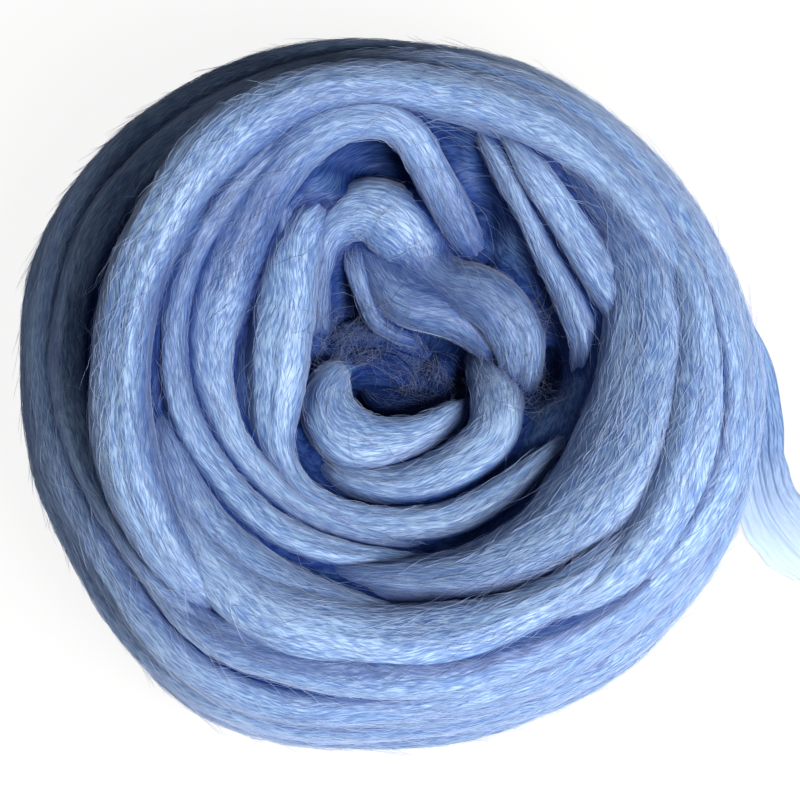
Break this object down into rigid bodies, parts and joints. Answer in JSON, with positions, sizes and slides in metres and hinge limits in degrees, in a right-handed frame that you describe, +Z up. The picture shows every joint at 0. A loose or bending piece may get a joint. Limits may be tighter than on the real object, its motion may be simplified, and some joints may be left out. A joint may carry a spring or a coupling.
{
  "type": "wool roving",
  "caption": "Soft combed wool roving wound by hand into a low open nest, with a deep well, a flat foot and a frayed loose end lying on the surface.",
  "frame": {"origin": "centre of the flat foot on the surface that the nest rests on, under the middle of its turns", "axes": "+Z up out of the well, +X towards the side where the loose end lies, +Y away from the viewer"},
  "size_m": [0.316, 0.2753, 0.102],
  "materials": {
    "combed_wool": "sky blue combed wool, silky along its fibres",
    "frayed_wool": "the same wool opened out into a thin pale web"
  },
  "bodies": {
    "root": {"wound_roving": "combed_wool", "loose_end": "frayed_wool"}
  },
  "joints": []
}
